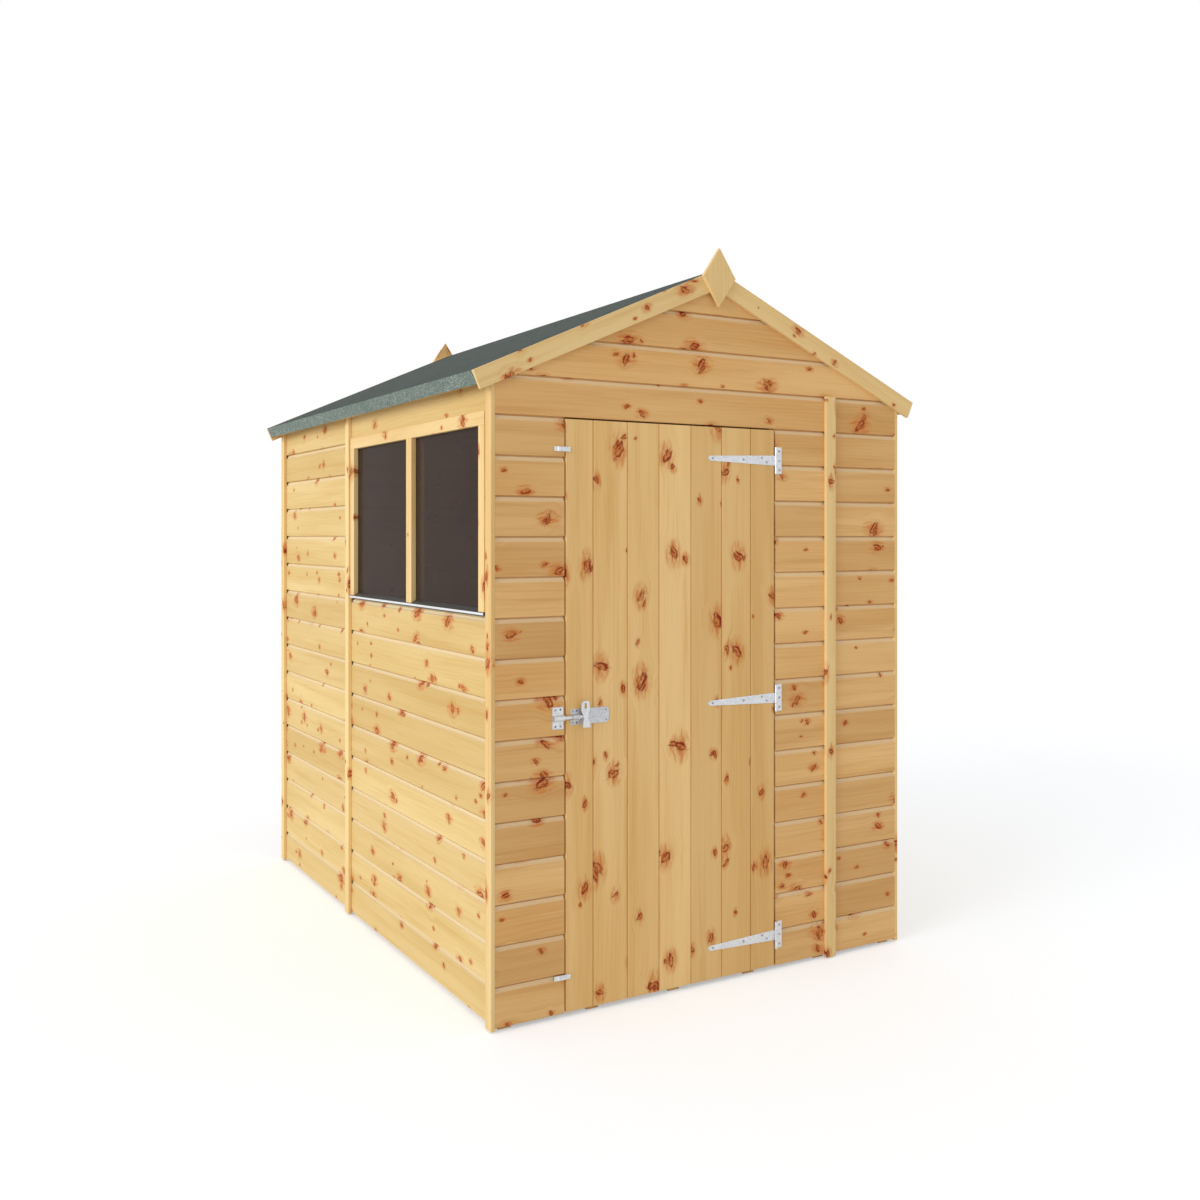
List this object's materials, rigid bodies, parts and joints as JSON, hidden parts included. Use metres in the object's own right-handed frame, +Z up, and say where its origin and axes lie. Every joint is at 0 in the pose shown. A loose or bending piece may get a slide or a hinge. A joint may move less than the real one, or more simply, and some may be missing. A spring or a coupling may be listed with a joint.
{
  "type": "wooden garden shed",
  "caption": "Hollow timber garden shed with horizontal board walls, a felted apex roof, a side window, and a ledged door hung on strap hinges with a sliding bolt and turn buttons.",
  "frame": {"origin": "on the ground, under the middle of the shed's bounding box", "axes": "+Z up, +X to the right seen from the door, the door gable faces -Y"},
  "size_m": [1.5856, 2.072, 2.1861],
  "materials": {
    "cladding": "smooth planed softwood boards, honey tan",
    "trim": "smooth planed softwood strips, honey tan",
    "framing": "sawn softwood",
    "sheet_board": "pressed strand board",
    "roof_felt": "green-grey mineral-surfaced bitumen felt",
    "glazing": "clear sheet, dark against the inside",
    "sill": "dull metal with a bright nose",
    "galvanised": "bright galvanised steel"
  },
  "bodies": {
    "shed": {"floor_bearers": "framing", "floor_deck": "sheet_board", "front_studs": "framing", "front_rails": "framing", "back_studs": "framing", "back_rails": "framing", "left_studs": "framing", "left_rails": "framing", "right_studs": "framing", "right_rails": "framing", "gable_rafters": "framing", "front_cladding": "cladding", "front_lintel_cladding": "cladding", "gable_cladding": "cladding", "back_cladding": "cladding", "left_front_cladding": "cladding", "left_rear_cladding": "cladding", "right_cladding": "cladding", "corner_strips": "trim", "gable_cover_strips": "trim", "side_cover_strips": "trim", "door_stops": "trim", "window_head_strip": "trim", "window_uprights": "trim", "window_panes": "glazing", "window_sill": "sill", "left_roof_board": "sheet_board", "right_roof_board": "sheet_board", "left_roof_felt": "roof_felt", "right_roof_felt": "roof_felt", "roof_purlins": "framing", "eaves_rails": "framing", "left_bargeboards": "trim", "right_bargeboards": "trim", "finials": "trim", "hinge_flaps": "galvanised", "bolt_keep": "galvanised", "button_screws": "galvanised"},
    "door": {"door_boards": "cladding", "door_ledges": "framing", "door_braces": "framing", "hinge_straps": "galvanised", "bolt_plate": "galvanised"},
    "bolt": {"bolt_rod": "galvanised", "bolt_handle": "galvanised"},
    "turn_button_lower": {"turn_button_lower": "galvanised"},
    "turn_button_upper": {"turn_button_upper": "galvanised"}
  },
  "joints": [
    {"name": "door_hinge", "type": "hinge", "parent": "shed", "child": "door", "pos_m": [0.226, -1.017, 0.8355], "axis": [0, 0, 1], "range_deg": [0, 170]},
    {"name": "bolt_slide", "type": "slide", "parent": "door", "child": "bolt", "axis": [1, 0, 0], "range_m": [0, 0.044]},
    {"name": "lower_button_turn", "type": "hinge", "parent": "shed", "child": "turn_button_lower", "pos_m": [-0.5195, -1.012, 0.113], "axis": [0, -1, 0], "range_deg": [0, 90]},
    {"name": "upper_button_turn", "type": "hinge", "parent": "shed", "child": "turn_button_upper", "pos_m": [-0.5195, -1.012, 1.573], "axis": [0, -1, 0], "range_deg": [0, 90]}
  ]
}
